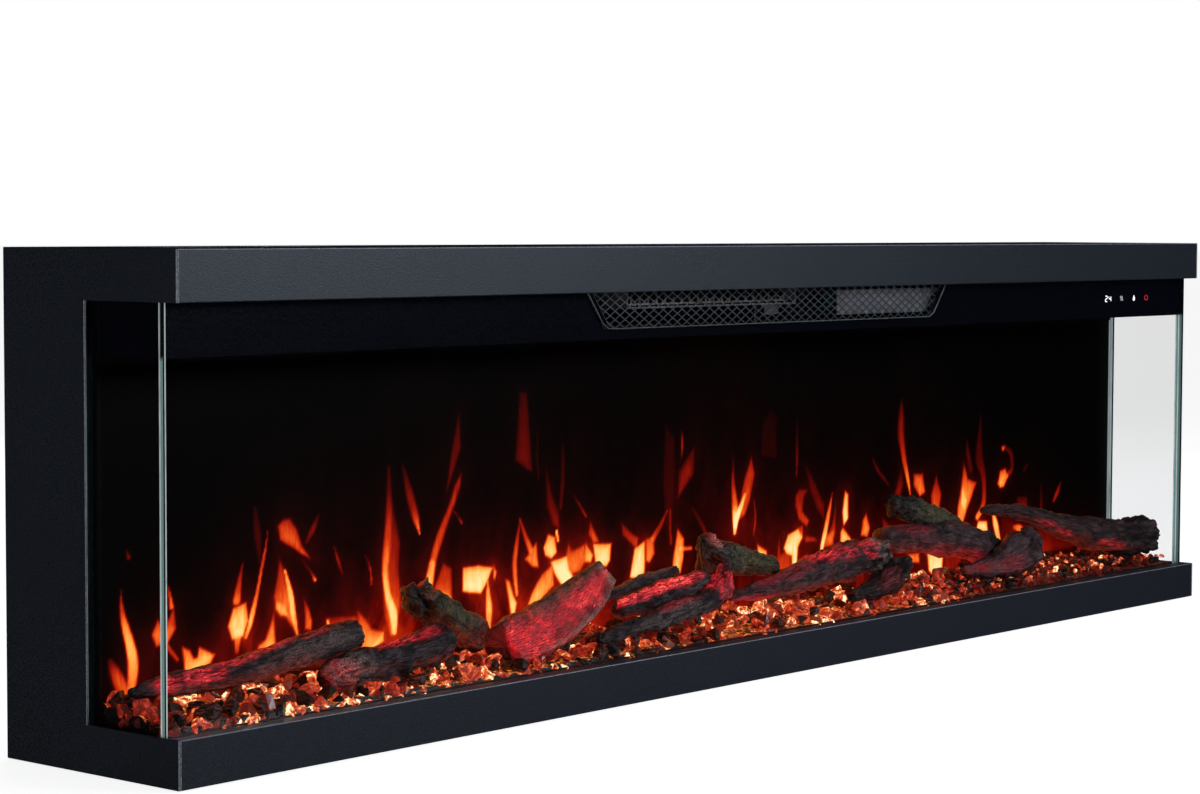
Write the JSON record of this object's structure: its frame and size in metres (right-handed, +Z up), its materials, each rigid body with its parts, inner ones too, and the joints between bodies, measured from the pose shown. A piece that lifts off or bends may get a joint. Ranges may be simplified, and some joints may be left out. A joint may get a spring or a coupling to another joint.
{
  "type": "electric fireplace",
  "caption": "Three-sided panoramic electric fireplace: black steel casing, glass on three sides, log and ember bed, lit flame screen, fan heater behind a mesh outlet.",
  "frame": {"origin": "middle of the base, at the height of the underside", "axes": "+X along the width to the viewer's right, +Y to the back, +Z up; the glass front faces -Y"},
  "size_m": [1.524, 0.205, 0.404],
  "materials": {
    "body_paint": "satin black powder coat with a fine texture",
    "inner_paint": "matt black heat-proof paint",
    "galvanised": "bright zinc-coated sheet",
    "clear_glass": "polished 6 mm toughened glass, with a black printed band along the top",
    "screen": "dark smoked diffuser lit from behind",
    "tray_acrylic": "translucent amber moulding",
    "embers": "clear and amber crystals and charcoal chips, lit from below",
    "charred_bark": "cast resin painted as charred bark, with a red inner glow",
    "mossy_bark": "cast resin painted as grey-green bark",
    "red_bark": "cast resin painted as split wood, glowing red",
    "led_board": "white circuit board with light emitters",
    "circuit_board": "green solder mask",
    "reflector": "bright reflective sheet",
    "shaft_steel": "bright drawn bar",
    "nylon": "natural nylon",
    "black_plastic": "moulded black plastic, fine texture",
    "motor_steel": "plain pressed and laminated steel",
    "copper_winding": "varnished copper wire under tape",
    "heater_fins": "heat-darkened aluminium fins",
    "mesh_steel": "black painted expanded metal"
  },
  "bodies": {
    "root": {"back_panel": "body_paint", "base_tray": "body_paint", "blower_bearing_left": "nylon", "blower_bearing_right": "nylon", "blower_coil": "copper_winding", "blower_scroll": "galvanised", "blower_stator": "motor_steel", "control_board": "circuit_board", "control_box": "galvanised", "cord_gland": "black_plastic", "ember_bed": "embers", "ember_light_strip": "led_board", "ember_tray": "tray_acrylic", "firebox_ceiling": "inner_paint", "flame_light_strip": "led_board", "flame_pattern_plate": "reflector", "flame_screen": "screen", "flicker_bearing_left": "nylon", "flicker_bearing_middle": "nylon", "flicker_motor": "motor_steel", "flicker_motor_bracket": "galvanised", "front_glass": "clear_glass", "glass_clip_left": "galvanised", "glass_clip_right": "galvanised", "glass_rest": "inner_paint", "header_fascia": "body_paint", "heater_duct": "galvanised", "heating_element": "heater_fins", "left_glass": "clear_glass", "left_side_plate": "body_paint", "log_centre": "charred_bark", "log_forked": "charred_bark", "log_grey_long": "charred_bark", "log_grey_right": "charred_bark", "log_knobby": "charred_bark", "log_long_left": "charred_bark", "log_long_right": "charred_bark", "log_mossy_knob": "mossy_bark", "log_mossy_right": "mossy_bark", "log_split_red": "red_bark", "log_stump": "mossy_bark", "log_wedge": "mossy_bark", "power_supply": "black_plastic", "power_switch_housing": "black_plastic", "right_glass": "clear_glass", "right_side_plate": "body_paint", "screen_channel_bottom": "inner_paint", "screen_channel_top": "inner_paint", "thermal_cutout": "black_plastic", "top_panel": "body_paint", "touch_board": "circuit_board", "vent_grille": "mesh_steel"},
    "flicker_rod": {"flicker_shaft": "shaft_steel", "flicker_reflector_left": "reflector", "flicker_reflector_right": "reflector", "flicker_coupling": "nylon"},
    "blower_wheel": {"blower_impeller": "black_plastic", "blower_shaft": "shaft_steel", "blower_rotor": "motor_steel"},
    "switch_rocker": {"power_switch_rocker": "black_plastic"}
  },
  "joints": [
    {"name": "flicker_spin", "type": "hinge", "parent": "root", "child": "flicker_rod", "pos_m": [0, 0.0495, 0.062], "axis": [1, 0, 0], "continuous": true},
    {"name": "blower_spin", "type": "hinge", "parent": "root", "child": "blower_wheel", "pos_m": [0, 0.0055, 0.366], "axis": [1, 0, 0], "continuous": true},
    {"name": "power_rocker_tilt", "type": "hinge", "parent": "root", "child": "switch_rocker", "pos_m": [0.756, 0.0625, 0.345], "axis": [0, 1, 0], "range_deg": [0, 24]}
  ]
}
